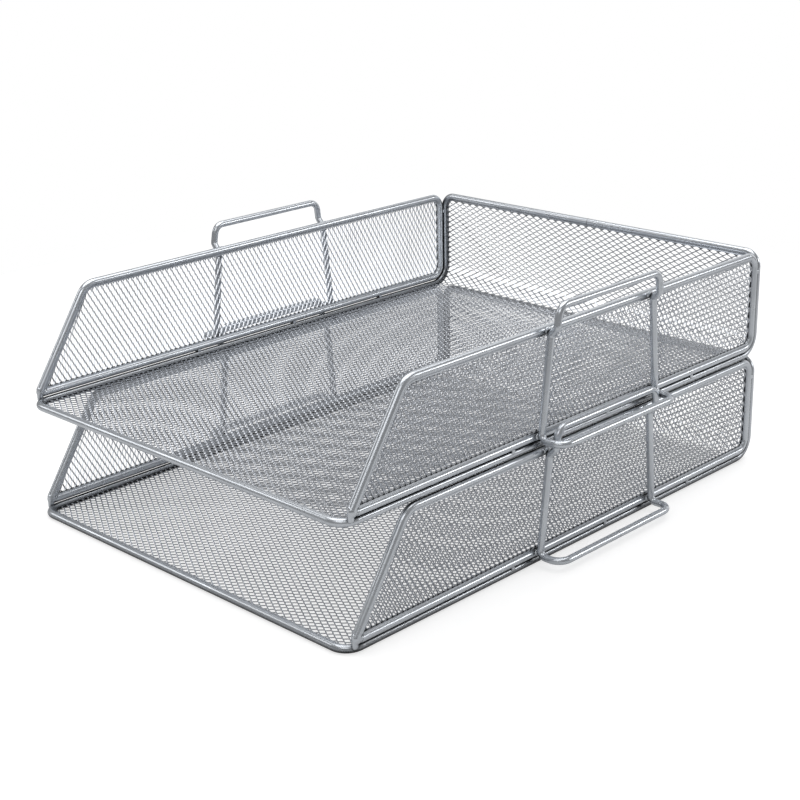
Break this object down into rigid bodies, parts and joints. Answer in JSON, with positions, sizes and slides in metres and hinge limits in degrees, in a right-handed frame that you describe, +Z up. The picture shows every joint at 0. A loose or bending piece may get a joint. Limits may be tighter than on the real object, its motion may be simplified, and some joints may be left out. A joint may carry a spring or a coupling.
{
  "type": "letter tray",
  "caption": "Two-tier stacking letter tray of silver expanded-metal mesh in rolled steel rims, with sloping sides, an open front and wire stacking brackets.",
  "frame": {"origin": "on the desk, under the middle of the tray's footprint", "axes": "+Z up; the open front faces -Y; +X is to the right when facing the front's opening from outside"},
  "size_m": [0.2894, 0.342, 0.1424],
  "materials": {
    "silver_tube": "satin",
    "silver_wire": "satin",
    "silver_mesh": "satin"
  },
  "bodies": {
    "lower_tray": {"lower_floor_back_rim": "silver_tube", "lower_floor_back_mesh": "silver_mesh", "lower_left_side_rim": "silver_tube", "lower_left_side_mesh": "silver_mesh", "lower_left_bottom_tabs": "silver_tube", "lower_left_rear_tab": "silver_tube", "lower_left_front_tab": "silver_tube", "lower_left_bracket": "silver_wire", "lower_right_side_rim": "silver_tube", "lower_right_side_mesh": "silver_mesh", "lower_right_bottom_tabs": "silver_tube", "lower_right_rear_tab": "silver_tube", "lower_right_front_tab": "silver_tube", "lower_right_bracket": "silver_wire"},
    "upper_tray": {"upper_floor_back_rim": "silver_tube", "upper_floor_back_mesh": "silver_mesh", "upper_left_side_rim": "silver_tube", "upper_left_side_mesh": "silver_mesh", "upper_left_bottom_tabs": "silver_tube", "upper_left_rear_tab": "silver_tube", "upper_left_front_tab": "silver_tube", "upper_left_bracket": "silver_wire", "upper_right_side_rim": "silver_tube", "upper_right_side_mesh": "silver_mesh", "upper_right_bottom_tabs": "silver_tube", "upper_right_rear_tab": "silver_tube", "upper_right_front_tab": "silver_tube", "upper_right_bracket": "silver_wire"}
  },
  "joints": [
    {"name": "upper_tray_lift", "type": "slide", "parent": "lower_tray", "child": "upper_tray", "axis": [0, 0, 1], "range_m": [0, 0.15]}
  ]
}
